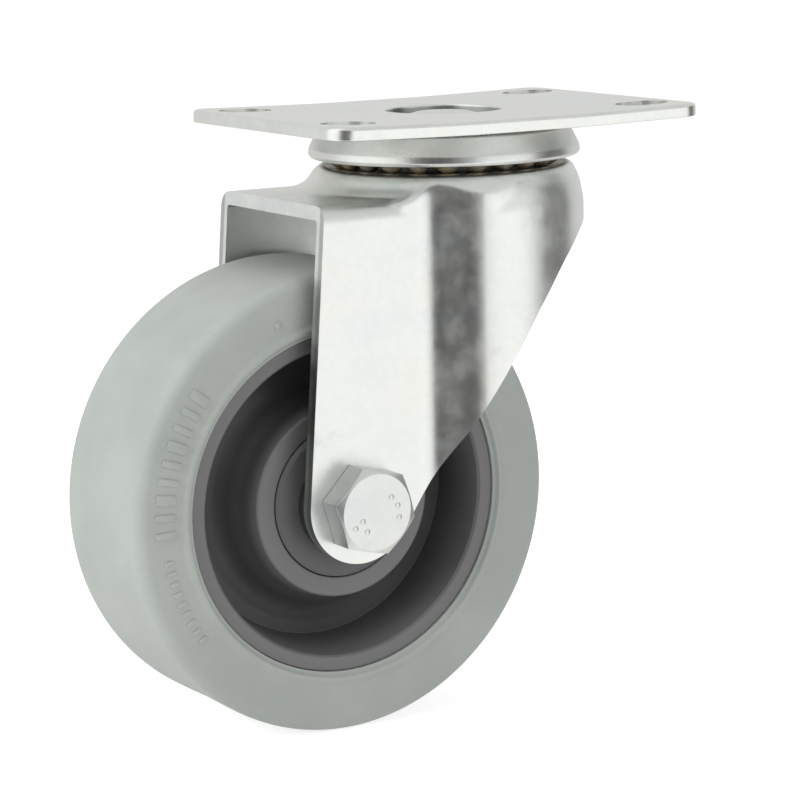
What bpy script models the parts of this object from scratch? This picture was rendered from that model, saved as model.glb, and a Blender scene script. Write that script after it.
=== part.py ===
"""Swivel plate castor with a 100 mm rubber-tyred wheel, built as a bench assembly.

Frame: metres, +Z up. The origin is the centre of the deck plate's top face, on the
swivel axis. +X is the direction of travel, so the wheel trails towards -X, and the
wheel turns about Y. The bolt head is on the -Y side and the lock nut on the +Y side.
"""
import math

import bmesh
import bpy
from mathutils import Matrix, Vector

MM = 0.001
GAP = 0.3                     # clearance that touching parts keep

# Wheel, all in millimetres
WHEEL_RADIUS = 50.0
TYRE_WIDTH = 34.2
SHOULDER = 3.5                # rounding between tread and sidewall
CORE_RADIUS = 36.8            # outside of the plastic core
RIM_LIP = 33.5                # inside of the core's rim
RIM_FACE = 16.2               # half width of the core at its rim
HUB_RADIUS = 20.75
HUB_FACE = 15.0               # half width of the hub
WEB_HALF = 3.0                # half thickness of the web at the rim
WEB_RADIUS = 31.3             # corner of the web and the rim's wall
TRAIL = 36.0                  # swivel axis to wheel axis
AXLE_DROP = 80.4              # plate top down to the wheel axis

# Deck plate
PLATE_LENGTH = 92.0
PLATE_WIDTH = 67.0
PLATE_THICKNESS = 2.8
PLATE_CORNER = 5.0
SLOT_SPACING = (74.0, 45.0)
SLOT_SIZE = (12.0, 9.0)       # end to end, and width
DISH_RADIUS = 13.0
DISH_DEPTH = 2.4

# Fork, pressed from sheet
SHEET = 3.0
LEG_FACE = 22.75              # outside of a leg from the middle plane
DRUM_RADIUS = 30.5            # outside of the round front wall
ROOF_TOP = -16.5
ROOF_END = -43.2
CROWN_TOP = -11.7
FOLD_RADIUS = 3.5
BOSS_RADIUS = 12.3
DRUM_END_ANGLE = 104.0        # where the round wall starts to sweep in to the leg
SWEEP_ANGLE = 38.0            # steepest angle of the sweep
SWEEP_CONVEX = 14.0
SWEEP_CONCAVE = 8.0

# Swivel head
UPPER_BALL = 5.8
UPPER_PITCH = 23.3
UPPER_BALL_Z = -9.3
UPPER_COUNT = 24
LOWER_BALL = 6.0
LOWER_PITCH = 13.6
LOWER_BALL_Z = -17.9
LOWER_COUNT = 12

# Axle
BOLT_RADIUS = 4.9
HEX_FLATS = 17.0
HEAD_HEIGHT = 6.4
NUT_HEIGHT = 9.5
SLEEVE_RADIUS = 7.4
ROLLER = 3.2
ROLLER_LENGTH = 20.0
ROLLER_COUNT = 8
ROLLER_PITCH = SLEEVE_RADIUS + GAP + ROLLER / 2
BUSH_BORE = ROLLER_PITCH + ROLLER / 2 + GAP
BUSH_RADIUS = BUSH_BORE + 1.6
BEARING_HALF = 12.8

ROUND = 36                    # facets of the swivel head's turned parts
CROWN_ROUND = 48
WHEEL_ROUND = 48
SHAFT_ROUND = 24
PIN_ROUND = 28
WHEEL_CENTRE = Vector((-TRAIL, 0, -AXLE_DROP))

ZINC = ((0.62, 0.64, 0.62), 0.32, 1.0)
STEEL = ((0.55, 0.55, 0.53), 0.25, 1.0)
GREY_RUBBER = ((0.32, 0.34, 0.35), 0.75, 0.0)
DARK_PLASTIC = ((0.065, 0.067, 0.072), 0.5, 0.0)
NYLON = ((0.75, 0.74, 0.68), 0.5, 0.0)


def clear_scene():
    for old in list(bpy.data.objects):
        bpy.data.objects.remove(old, do_unlink=True)


def make_material(name, finish):
    colour, roughness, metallic = finish
    material = bpy.data.materials.new(name)
    material.use_nodes = True
    shader = material.node_tree.nodes["Principled BSDF"]
    shader.inputs["Base Color"].default_value = (*colour, 1.0)
    shader.inputs["Roughness"].default_value = roughness
    shader.inputs["Metallic"].default_value = metallic
    return material


def add_joint(name, location, parent=None):
    """An empty on a joint's axis, which the moving pieces hang from."""
    empty = bpy.data.objects.new(name, None)
    bpy.context.collection.objects.link(empty)
    empty.empty_display_size = 10 * MM
    empty.parent = parent
    base = Vector(parent.matrix_world.translation) if parent else Vector((0, 0, 0))
    empty.location = Vector(location) * MM - base
    bpy.context.view_layer.update()
    return empty


def add_part(name, mesh, joint, finish=None, location=(0, 0, 0)):
    """Links a mesh as a named part. Its place is given in world millimetres."""
    part = bpy.data.objects.new(name, mesh)
    bpy.context.collection.objects.link(part)
    part.parent = joint
    part.location = Vector(location) * MM - Vector(joint.matrix_world.translation)
    if finish:
        if not mesh.materials:
            mesh.materials.append(make_material(name, finish))
        mesh.shade_smooth()
        mesh.set_sharp_from_angle(angle=math.radians(35))
    else:
        part.hide_render = True
        part.display_type = "WIRE"
    return part


def turned(name, outline, segments, axis="Z"):
    """A solid of revolution. outline is a closed loop of (radius, height) in mm."""
    bm = bmesh.new()
    loop = [bm.verts.new((r * MM, 0, z * MM)) for r, z in outline]
    edges = [bm.edges.new((a, b)) for a, b in zip(loop, loop[1:] + loop[:1])]
    bmesh.ops.spin(bm, geom=loop + edges, cent=(0, 0, 0), axis=(0, 0, 1),
                   angle=2 * math.pi, steps=segments, use_duplicate=False)
    bmesh.ops.remove_doubles(bm, verts=bm.verts, dist=1e-6)
    bmesh.ops.dissolve_degenerate(bm, edges=bm.edges, dist=1e-7)
    bmesh.ops.recalc_face_normals(bm, faces=bm.faces)
    if axis == "Y":
        bmesh.ops.rotate(bm, verts=bm.verts, cent=(0, 0, 0),
                         matrix=Matrix.Rotation(math.radians(90), 3, "X"))
    mesh = bpy.data.meshes.new(name)
    bm.to_mesh(mesh)
    bm.free()
    return mesh


def prism(name, outline, low, high, plane="XY"):
    """Extrudes a closed outline, in mm, along Z (plane XY) or along Y (plane XZ)."""
    def place(u, v, w):
        point = (u, v, w) if plane == "XY" else (u, w, v)
        return Vector(point) * MM
    bm = bmesh.new()
    floor = bm.faces.new([bm.verts.new(place(u, v, low)) for u, v in outline])
    grown = bmesh.ops.extrude_face_region(bm, geom=[floor])["geom"]
    risen = [item for item in grown if isinstance(item, bmesh.types.BMVert)]
    bmesh.ops.translate(bm, verts=risen, vec=place(0, 0, high - low))
    bmesh.ops.recalc_face_normals(bm, faces=bm.faces)
    mesh = bpy.data.meshes.new(name)
    bm.to_mesh(mesh)
    bm.free()
    return mesh


def boolean(part, tool, operation="DIFFERENCE"):
    change = part.modifiers.new(tool.name, "BOOLEAN")
    change.operation = operation
    change.solver = "EXACT"
    change.object = tool


def bevel(part, width, segments, angle=40):
    change = part.modifiers.new("edges", "BEVEL")
    change.width = width * MM
    change.segments = segments
    change.limit_method = "ANGLE"
    change.angle_limit = math.radians(angle)


def arc(centre, radius, start, end, steps):
    """Points along an arc, angles in degrees counted anticlockwise from +X."""
    return [(centre[0] + radius * math.cos(math.radians(start + (end - start) * k / steps)),
             centre[1] + radius * math.sin(math.radians(start + (end - start) * k / steps)))
            for k in range(steps + 1)]


def ring(inner, outer, low, high):
    return [(inner, low), (outer, low), (outer, high), (inner, high)]


def mirrored(half):
    """A closed outline from its half on one side of the middle line, v = 0."""
    return half + [(u, -v) for u, v in reversed(half) if abs(v) > 1e-6]


# ---------------------------------------------------------------- deck plate and head

def rounded_rectangle(length, width, radius, steps=4):
    points = []
    for k, (sx, sy) in enumerate(((1, 1), (-1, 1), (-1, -1), (1, -1))):
        centre = (sx * (length / 2 - radius), sy * (width / 2 - radius))
        points += arc(centre, radius, 90 * k, 90 * k + 90, steps)
    return points


def slot_outline(centre, steps=6):
    reach = (SLOT_SIZE[0] - SLOT_SIZE[1]) / 2
    radius = SLOT_SIZE[1] / 2
    right = arc((centre[0] + reach, centre[1]), radius, -90, 90, steps)
    left = arc((centre[0] - reach, centre[1]), radius, 90, 270, steps)
    return right + left


def build_plate(joint):
    outline = rounded_rectangle(PLATE_LENGTH, PLATE_WIDTH, PLATE_CORNER)
    plate = add_part("top_plate", prism("top_plate", outline, -PLATE_THICKNESS, 0), joint, ZINC)
    bevel(plate, 0.4, 1)
    boss_low = -PLATE_THICKNESS - DISH_DEPTH
    boss = turned("plate_boss", [(0, boss_low), (13.4, boss_low), (15.0, -PLATE_THICKNESS - 0.5),
                                 (15.0, -1.5), (0, -1.5)], ROUND)
    boolean(plate, add_part("plate_boss", boss, joint), "UNION")
    dish = turned("plate_dish", [(0, -DISH_DEPTH), (10.6, -DISH_DEPTH), (12.0, -1.4),
                                 (DISH_RADIUS, -0.4), (DISH_RADIUS + 1, 0.5), (0, 0.5)], ROUND)
    boolean(plate, add_part("plate_dish", dish, joint))
    hole = turned("plate_hole", [(0, -9), (6.3, -9), (6.3, 1), (0, 1)], ROUND)
    boolean(plate, add_part("plate_hole", hole, joint))
    for k, (sx, sy) in enumerate(((1, 1), (-1, 1), (-1, -1), (1, -1))):
        centre = (sx * SLOT_SPACING[0] / 2, sy * SLOT_SPACING[1] / 2)
        cutter = prism(f"slot_cutter_{k}", slot_outline(centre), -5, 2)
        boolean(plate, add_part(f"slot_cutter_{k}", cutter, joint))


def build_head(joint):
    cup = [(15.4, -3.1), (26.2, -3.1), (27.6, -3.9), (29.6, -7.8), (29.8, -8.8),
           (29.4, -9.6), (28.5, -10.1), (27.5, -10.0), (27.2, -8.0), (26.2, -6.9),
           (24.6, -6.2), (22.6, -6.0), (19.5, -5.3), (15.4, -5.3)]
    add_part("race_cup", turned("race_cup", cup, ROUND), joint, ZINC)
    kingpin = [(0, -0.4), (5.4, -0.5), (8.2, -1.3), (8.6, -2.1), (6.0, -2.1),
               (6.0, -5.5), (8.0, -5.5), (8.0, -21.2), (6.0, -21.2), (6.0, -23.9), (9.8, -23.9),
               (9.6, -24.9), (6.8, -26.4), (0, -26.6)]
    add_part("kingpin", turned("kingpin", kingpin, PIN_ROUND), joint, STEEL)
    race = [(6.3, -21.5), (10.8, -21.5), (13.6, -21.2), (15.8, -20.6), (16.9, -19.4),
            (17.1, -18.2), (18.0, -17.8), (18.6, -18.6), (17.4, -21.9), (14.2, -23.5),
            (6.3, -23.6)]
    add_part("lower_race", turned("lower_race", race, ROUND), joint, ZINC)


def build_balls(prefix, count, pitch, height, diameter, joint):
    bm = bmesh.new()
    bmesh.ops.create_icosphere(bm, subdivisions=2, radius=diameter / 2 * MM)
    ball = bpy.data.meshes.new(prefix)
    bm.to_mesh(ball)
    bm.free()
    for k in range(count):
        angle = 2 * math.pi * k / count
        place = (pitch * math.cos(angle), pitch * math.sin(angle), height)
        add_part(f"{prefix}_{k + 1:02d}", ball, joint, STEEL, place)


# ------------------------------------------------------------------------------- fork

def plan_half(inset):
    """The fork's plan on the -Y side, from its front round to the leg's flat start.

    The round front wall ends at DRUM_END_ANGLE. A convex arc, a straight stretch and a
    concave arc then sweep the wall in to the flat leg. inset moves the line inwards.
    """
    turn = DRUM_END_ANGLE - 90
    points = arc((0, 0), DRUM_RADIUS - inset, 0, -DRUM_END_ANGLE, 13)
    start = math.radians(-DRUM_END_ANGLE)
    toward = DRUM_RADIUS - SWEEP_CONVEX
    convex = (toward * math.cos(start), toward * math.sin(start))
    points += arc(convex, SWEEP_CONVEX - inset, -90 - turn, -90 - SWEEP_ANGLE, 3)[1:]
    steep = math.radians(SWEEP_ANGLE)
    end_of_convex = (convex[0] - SWEEP_CONVEX * math.sin(steep),
                     convex[1] - SWEEP_CONVEX * math.cos(steep))
    drop = -LEG_FACE - end_of_convex[1] - SWEEP_CONCAVE * (1 - math.cos(steep))
    run = drop / math.tan(steep)
    concave = (end_of_convex[0] - run - SWEEP_CONCAVE * math.sin(steep),
               -LEG_FACE - SWEEP_CONCAVE)
    points += arc(concave, SWEEP_CONCAVE + inset, 90 - SWEEP_ANGLE, 90, 4)
    return points


def fork_side():
    """The fork seen from the side: raked rear edge, round boss, diagonal front edge."""
    centre = (-TRAIL, -AXLE_DROP)
    elbow = (4.7, -41.4)
    reach = math.hypot(elbow[0] - centre[0], elbow[1] - centre[1])
    lie = math.degrees(math.atan2(elbow[1] - centre[1], elbow[0] - centre[0]))
    slope = lie + math.degrees(math.asin(BOSS_RADIUS / reach))
    boss = arc(centre, BOSS_RADIUS, 175, slope + 270, 12)
    front = [elbow, (11.2, -33.5), (15.4, -29.6), (20.3, -26.0), (25.5, -24.0), (32, -23.4)]
    return [(ROOF_END, 0), (ROOF_END, ROOF_TOP)] + boss + front + [(32, 0)]


def build_fork(joint):
    outer = mirrored([(ROOF_END - 8, -LEG_FACE)] + plan_half(0)[::-1])
    body = add_part("fork", prism("fork", outer, -AXLE_DROP - 15, ROOF_TOP), joint, ZINC)
    fold = body.modifiers.new("fold", "BEVEL")
    fold.width = FOLD_RADIUS * MM
    fold.segments = 3
    fold.limit_method = "ANGLE"
    fold.angle_limit = math.radians(60)

    crown_outline = [(0, CROWN_TOP + 0.1), (20.0, CROWN_TOP + 0.1), (21.6, -12.35),
                     (23.3, -12.55), (25.0, -12.35), (26.4, CROWN_TOP), (27.5, CROWN_TOP),
                     (28.3, -12.4), (29.2, -14.4), (29.9, -16.8), (30.4, -20.0), (30.4, -30.0),
                     (0, -30.0)]
    crown = add_part("fork_crown", turned("fork_crown", crown_outline, CROWN_ROUND), joint)
    trim = mirrored([(ROOF_END - 8, -LEG_FACE + 0.05)] + plan_half(0.05)[::-1])
    trimmer = add_part("crown_trim", prism("crown_trim", trim, -40, 0), joint)
    boolean(crown, trimmer, "INTERSECT")
    boolean(body, crown, "UNION")

    inner = mirrored([(ROOF_END - 20, -LEG_FACE + SHEET)] + plan_half(SHEET)[::-1])
    room = add_part("fork_room", prism("fork_room", inner, -AXLE_DROP - 30, ROOF_TOP - SHEET),
                    joint)
    boolean(body, room)
    hollow_outline = [(0, -14.7), (19.6, -14.7), (21.8, -15.4), (25.4, -15.6), (26.6, -17.0),
                      (27.2, -20.0), (27.2, -25.0), (0, -25.0)]
    hollow = add_part("crown_hollow", turned("crown_hollow", hollow_outline, CROWN_ROUND), joint)
    hollow_trim = mirrored([(ROOF_END - 8, -LEG_FACE + SHEET + 0.05)]
                           + plan_half(SHEET + 0.05)[::-1])
    trimmer = add_part("hollow_trim", prism("hollow_trim", hollow_trim, -40, 0), joint)
    boolean(hollow, trimmer, "INTERSECT")
    boolean(body, hollow)
    hole = turned("crown_hole", [(0, -40), (9.5, -40), (9.5, 0), (0, 0)], ROUND)
    boolean(body, add_part("crown_hole", hole, joint))

    side = prism("fork_side", fork_side(), -60, 60, "XZ")
    boolean(body, add_part("fork_side", side, joint), "INTERSECT")
    bore = turned("axle_bore", ring(0, BOLT_RADIUS + GAP, -60, 60), SHAFT_ROUND, "Y")
    boolean(body, add_part("axle_bore", bore, joint, location=WHEEL_CENTRE))


# ------------------------------------------------------------------------------- axle

def hexagon(flats):
    return arc((0, 0), flats / math.sqrt(3), 0, 300, 5)


def hex_body(name, low, high, chamfer_low, chamfer_high):
    """A hexagonal bar along Y with chamfered ends, cut by a turned cone shape."""
    bar = prism(name, hexagon(HEX_FLATS), low, high, "XZ")
    bm = bmesh.new()
    bm.from_mesh(bar)
    bmesh.ops.rotate(bm, verts=bm.verts, cent=(0, 0, 0),
                     matrix=Matrix.Rotation(math.radians(13.4), 3, "Y"))
    bm.to_mesh(bar)
    bm.free()
    wide = HEX_FLATS * 0.62
    face = HEX_FLATS * 0.478
    cone = [(0, low), (face if chamfer_low else wide, low), (wide, low + 1.1),
            (wide, high - 1.1), (face if chamfer_high else wide, high), (0, high)]
    return bar, cone


def build_axle(joint):
    head_low = -LEG_FACE - GAP - HEAD_HEIGHT
    head_high = -LEG_FACE - GAP
    bar, cone = hex_body("axle_bolt", head_low, head_high, True, False)
    bolt = add_part("axle_bolt", bar, joint, ZINC, WHEEL_CENTRE)
    envelope = turned("head_chamfer", [(r, -y) for r, y in cone], 36, "Y")
    boolean(bolt, add_part("head_chamfer", envelope, joint, location=WHEEL_CENTRE), "INTERSECT")
    tip = LEG_FACE + GAP + NUT_HEIGHT + 2.2
    shank_outline = [(0, -head_high + 1.0), (BOLT_RADIUS, -head_high + 1.0),
                     (BOLT_RADIUS, -tip + 0.8), (BOLT_RADIUS - 0.8, -tip), (0, -tip)]
    shank = turned("bolt_shank", shank_outline, SHAFT_ROUND, "Y")
    boolean(bolt, add_part("bolt_shank", shank, joint, location=WHEEL_CENTRE), "UNION")

    nut_low = LEG_FACE + GAP
    nut_high = nut_low + NUT_HEIGHT
    bar, cone = hex_body("axle_nut", nut_low, nut_high - 3.0, True, False)
    nut = add_part("axle_nut", bar, joint, ZINC, WHEEL_CENTRE)
    envelope = turned("nut_chamfer", [(r, -y) for r, y in cone], 36, "Y")
    boolean(nut, add_part("nut_chamfer", envelope, joint, location=WHEEL_CENTRE), "INTERSECT")
    collar_outline = [(0, -nut_low - 2.0), (7.9, -nut_low - 2.0), (7.9, -nut_high + 0.9),
                      (7.3, -nut_high), (0, -nut_high)]
    collar = turned("nut_collar", collar_outline, 36, "Y")
    boolean(nut, add_part("nut_collar", collar, joint, location=WHEEL_CENTRE), "UNION")
    bore_outline = [(0, -nut_low + 3), (BOLT_RADIUS + GAP, -nut_low + 3),
                    (BOLT_RADIUS + GAP, -nut_high + 3.2), (7.0, -nut_high + 3.2),
                    (7.0, -nut_high + 0.9), (6.4, -nut_high - 1), (0, -nut_high - 1)]
    bore = turned("nut_bore", bore_outline, SHAFT_ROUND, "Y")
    boolean(nut, add_part("nut_bore", bore, joint, location=WHEEL_CENTRE))
    insert = ring(BOLT_RADIUS + GAP, 6.6, -nut_high + 1.1, -nut_high + 2.9)
    add_part("nut_insert", turned("nut_insert", insert, SHAFT_ROUND, "Y"), joint, NYLON,
             WHEEL_CENTRE)

    half = LEG_FACE - SHEET - GAP
    sleeve = ring(BOLT_RADIUS + GAP, SLEEVE_RADIUS, -half, half)
    add_part("axle_sleeve", turned("axle_sleeve", sleeve, SHAFT_ROUND, "Y"), joint, STEEL,
             WHEEL_CENTRE)


# ------------------------------------------------------------------------------ wheel

def build_wheel(joint):
    face = TYRE_WIDTH / 2
    seat = CORE_RADIUS + GAP
    shoulder = arc((WHEEL_RADIUS - SHOULDER, face - SHOULDER), SHOULDER, 0, 90, 3)
    half = shoulder + [(39.4, face), (38.5, face + 0.5), (37.7, face + 0.3), (seat, face - 0.4)]
    loop = half + [(r, -y) for r, y in reversed(half)]
    add_part("tyre", turned("tyre", loop, WHEEL_ROUND, "Y"), joint, GREY_RUBBER, WHEEL_CENTRE)

    cap_radius = 16.6
    bore = BUSH_RADIUS + GAP
    half = [(CORE_RADIUS, RIM_FACE), (RIM_LIP + 0.4, RIM_FACE), (RIM_LIP, RIM_FACE - 0.5),
            (WEB_RADIUS, WEB_HALF), (28.5, WEB_HALF + 0.4), (25.6, 4.7), (23.2, 7.0),
            (21.6, 10.5), (HUB_RADIUS, HUB_FACE - 0.6), (HUB_RADIUS - 0.6, HUB_FACE),
            (cap_radius, HUB_FACE), (cap_radius, BEARING_HALF + GAP), (bore, BEARING_HALF + GAP)]
    loop = half + [(r, -y) for r, y in reversed(half)]
    add_part("wheel_core", turned("wheel_core", loop, WHEEL_ROUND, "Y"), joint, DARK_PLASTIC,
             WHEEL_CENTRE)

    for name, side in (("dust_cap_bolt_side", 1), ("dust_cap_nut_side", -1)):
        low = BEARING_HALF + 2 * GAP
        outline = [(8.0, low), (cap_radius - GAP, low), (cap_radius - GAP, HUB_FACE + 0.1),
                   (cap_radius - 1.0, HUB_FACE + 0.6), (9.4, HUB_FACE + 0.9),
                   (8.0, HUB_FACE + 0.4)]
        outline = [(r, side * y) for r, y in outline]
        add_part(name, turned(name, outline, 36, "Y"), joint, DARK_PLASTIC, WHEEL_CENTRE)

    bush = ring(BUSH_BORE, BUSH_RADIUS, -BEARING_HALF, BEARING_HALF)
    add_part("bearing_bush", turned("bearing_bush", bush, 36, "Y"), joint, STEEL, WHEEL_CENTRE)


def build_bearing(joint):
    half = ROLLER_LENGTH / 2
    cage_outline = ring(ROLLER_PITCH - 1.0, ROLLER_PITCH + 1.1, -half - 2.2, half + 2.2)
    cage = add_part("roller_cage", turned("roller_cage", cage_outline, 40, "Y"), joint, NYLON,
                    WHEEL_CENTRE)
    roller_outline = [(0, -half), (ROLLER / 2 - 0.3, -half), (ROLLER / 2, -half + 0.3),
                      (ROLLER / 2, half - 0.3), (ROLLER / 2 - 0.3, half), (0, half)]
    roller = turned("bearing_roller", roller_outline, 12, "Y")
    for k in range(ROLLER_COUNT):
        angle = 2 * math.pi * k / ROLLER_COUNT
        radial = Vector((math.cos(angle), 0, math.sin(angle)))
        place = WHEEL_CENTRE + radial * ROLLER_PITCH
        add_part(f"bearing_roller_{k + 1}", roller, joint, STEEL, place)
        wide = ROLLER / 2 + GAP
        window = prism(f"cage_window_{k + 1}", [(-4, -wide), (4, -wide), (4, wide), (-4, wide)],
                       -half - GAP, half + GAP, "XZ")
        cutter = add_part(f"cage_window_{k + 1}", window, joint, location=place)
        cutter.rotation_euler = (0, -angle, 0)
        boolean(cage, cutter)


def main():
    clear_scene()
    mount = add_joint("mount_root", (0, 0, 0))
    swivel = add_joint("swivel_axis", (0, 0, 0), mount)
    upper = add_joint("upper_ball_ring", (0, 0, UPPER_BALL_Z), mount)
    lower = add_joint("lower_ball_ring", (0, 0, LOWER_BALL_Z), mount)
    spin = add_joint("wheel_axis", WHEEL_CENTRE, swivel)
    rollers = add_joint("roller_axis", WHEEL_CENTRE, swivel)
    build_plate(mount)
    build_head(mount)
    build_balls("upper_ball", UPPER_COUNT, UPPER_PITCH, UPPER_BALL_Z, UPPER_BALL, upper)
    build_balls("lower_ball", LOWER_COUNT, LOWER_PITCH, LOWER_BALL_Z, LOWER_BALL, lower)
    build_fork(swivel)
    build_axle(swivel)
    build_wheel(spin)
    build_bearing(rollers)
    bpy.context.view_layer.update()


main()
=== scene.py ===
# %% [markdown]
# # A swivel plate castor
# A castor joins something heavy to a floor that it has to roll over. This one has a deck
# plate with four slots, a double ball race, a fork pressed from one sheet of steel, and a
# grey rubber tyre on a plastic core. The working model is already made, packed as a frame
# of solids with real joints. This script builds the looks round it: finer pieces that ride
# on the same bodies, their finishes, and a small studio.

# %% The frame, and the box that it fills
import math

import bpy
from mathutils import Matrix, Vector


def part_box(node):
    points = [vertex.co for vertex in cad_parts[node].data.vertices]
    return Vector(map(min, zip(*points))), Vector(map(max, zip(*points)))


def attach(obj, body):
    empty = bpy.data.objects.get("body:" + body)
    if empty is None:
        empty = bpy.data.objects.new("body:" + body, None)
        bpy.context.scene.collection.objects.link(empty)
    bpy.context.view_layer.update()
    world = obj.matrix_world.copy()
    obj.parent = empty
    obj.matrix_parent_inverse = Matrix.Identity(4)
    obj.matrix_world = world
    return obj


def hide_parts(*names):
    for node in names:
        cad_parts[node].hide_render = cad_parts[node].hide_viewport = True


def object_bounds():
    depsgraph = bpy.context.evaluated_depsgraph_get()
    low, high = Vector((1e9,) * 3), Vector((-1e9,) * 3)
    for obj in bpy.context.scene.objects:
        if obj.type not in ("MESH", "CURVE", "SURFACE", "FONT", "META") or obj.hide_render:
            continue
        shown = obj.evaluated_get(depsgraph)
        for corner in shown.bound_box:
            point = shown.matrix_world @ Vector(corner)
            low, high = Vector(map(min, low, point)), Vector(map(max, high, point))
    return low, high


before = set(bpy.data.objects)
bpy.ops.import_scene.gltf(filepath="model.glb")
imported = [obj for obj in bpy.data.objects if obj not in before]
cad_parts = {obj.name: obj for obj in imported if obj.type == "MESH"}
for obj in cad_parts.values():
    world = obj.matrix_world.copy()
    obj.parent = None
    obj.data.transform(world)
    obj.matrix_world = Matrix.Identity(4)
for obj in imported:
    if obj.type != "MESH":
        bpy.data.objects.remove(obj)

MM = 0.001
CAD_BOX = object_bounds()
SIZE = (CAD_BOX[1] - CAD_BOX[0]) / MM
print(f"frame: {len(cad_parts)} solids, {SIZE.x:.1f} x {SIZE.y:.1f} x {SIZE.z:.1f} mm")

# %% [markdown]
# ## Sizes from the frame
# Nothing is measured twice. The frame says where each solid lies, so the driving sizes of
# the looks are read from its boxes: the wheel from the tyre, the legs from the sleeve that
# fits between them, the head of the bolt from the bolt. The origin is the centre of the
# deck plate's top face, +Z is up and the wheel trails towards -X.

# %% Driving sizes, in millimetres


def span(node):
    """The lowest and highest corner of a solid, in millimetres."""
    low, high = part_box(node)
    return low / MM, high / MM


tyre_low, tyre_high = span("tyre")
WHEEL = Vector(((tyre_low.x + tyre_high.x) / 2, 0, (tyre_low.z + tyre_high.z) / 2))
WHEEL_RADIUS = (tyre_high.z - tyre_low.z) / 2
TYRE_FACE = tyre_high.y - 0.5          # the bead stands half a millimetre off the sidewall
core_low, core_high = span("wheel_core")
CORE_RADIUS = (core_high.z - core_low.z) / 2
RIM_FACE = core_high.y
plate_low, plate_high = span("top_plate")
PLATE_LENGTH = plate_high.x - plate_low.x
PLATE_WIDTH = plate_high.y - plate_low.y
fork_low, fork_high = span("fork")
DRUM_RADIUS = fork_high.x              # the round front wall
CROWN_TOP = fork_high.z
SHEET = 3.0                            # thickness of the fork's steel
LEG_FACE = span("axle_sleeve")[1].y + SHEET + 0.3
BOSS_RADIUS = WHEEL.z - fork_low.z
print(f"wheel {WHEEL_RADIUS * 2:.0f} mm at {tuple(round(c, 1) for c in WHEEL)}, "
      f"plate {PLATE_LENGTH:.0f} x {PLATE_WIDTH:.0f} mm, legs at +-{LEG_FACE:.2f} mm")

# %% [markdown]
# ## The camera
# The castor is seen from its bolt side, 31 degrees round towards the trailing wheel and
# 10 degrees above the plate. A long lens about two thirds of a metre away keeps the deck
# plate's edges nearly parallel, as in a catalogue.

# %% Camera
CAMERA_AZIMUTH = math.radians(-30.86)
CAMERA_HEIGHT = math.radians(10.18)
CAMERA_ROLL = -0.0194
CAMERA_DISTANCE = 0.6557
CAMERA_TARGET = Vector((-13.5, 0, -63.4)) * MM

back = Vector((math.sin(CAMERA_AZIMUTH) * math.cos(CAMERA_HEIGHT),
               -math.cos(CAMERA_AZIMUTH) * math.cos(CAMERA_HEIGHT),
               math.sin(CAMERA_HEIGHT)))
camera = bpy.data.objects.new("camera", bpy.data.cameras.new("camera"))
bpy.context.scene.collection.objects.link(camera)
camera.data.lens = 134.1
camera.data.sensor_width = 36
camera.data.shift_x = 0.0053
camera.data.shift_y = 0.0009
camera.location = CAMERA_TARGET + back * CAMERA_DISTANCE
level = (-back).to_track_quat("-Z", "Y").to_matrix().to_4x4()
camera.rotation_euler = (level @ level.Rotation(CAMERA_ROLL, 4, "Z")).to_euler()
bpy.context.scene.camera = camera
bpy.context.scene.view_settings.view_transform = "Standard"
print("camera stands at", tuple(round(c, 3) for c in camera.location))

# %% [markdown]
# ## Shader maths in Python
# A finish is a web of nodes, and most of them are sums. Wrapping a socket in a small class
# with Python's operators lets a mask be written as `1 - dirt * 0.5`, and the class adds the
# Math nodes. Every other node comes from one method, which takes the node's type, its
# settings and what goes into its sockets.

# %% A socket that Python can reckon with


class Shade:
    """A socket of a node tree. Sums on it add Math nodes to the same tree."""

    def __init__(self, tree, socket=None):
        self.tree = tree
        self.socket = socket

    def node(self, kind, settings=None, inputs=None, output=0):
        """Adds a node: its settings first, then the values or links of its sockets."""
        made = self.tree.nodes.new(kind)
        for name, value in (settings or {}).items():
            setattr(made, name, value)
        for name, value in (inputs or {}).items():
            if isinstance(value, Shade):
                self.tree.links.new(value.socket, made.inputs[name])
            else:
                made.inputs[name].default_value = value
        return Shade(self.tree, made.outputs[output])

    def maths(self, operation, a, b):
        return self.node("ShaderNodeMath", {"operation": operation}, {0: a, 1: b})

    def __add__(self, other):
        return self.maths("ADD", self, other)

    def __sub__(self, other):
        return self.maths("SUBTRACT", self, other)

    def __rsub__(self, other):
        return self.maths("SUBTRACT", other, self)

    def __mul__(self, other):
        return self.maths("MULTIPLY", self, other)

    __radd__ = __add__
    __rmul__ = __mul__

    def noise(self, place, scale, detail=2.0, rough=0.5):
        """Cloudy variation. scale is in lumps per metre."""
        return self.node("ShaderNodeTexNoise", None,
                         {"Vector": place, "Scale": scale, "Detail": detail,
                          "Roughness": rough})

    def ramp(self, value, low, high, start=0.0, end=1.0):
        """Takes a value between two limits smoothly to another pair."""
        return self.node("ShaderNodeMapRange", {"interpolation_type": "SMOOTHSTEP"},
                         {"Value": value, "From Min": low, "From Max": high,
                          "To Min": start, "To Max": end})

    def mix(self, mask, first, second):
        """Goes from the first colour to the second as the mask goes from 0 to 1."""
        return self.node("ShaderNodeMix", {"data_type": "RGBA"},
                         {"Factor": mask, 6: first, 7: second}, output=2)

    def stretched(self, place, scale):
        return self.node("ShaderNodeMapping", None, {"Vector": place, "Scale": scale})

    def bump(self, height, depth, strength=1.0):
        return self.node("ShaderNodeBump", None,
                         {"Height": height, "Distance": depth * MM, "Strength": strength})


def grey(level, warmth=0.0):
    return (level * (1 + warmth), level, level * (1 - warmth), 1)


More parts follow.
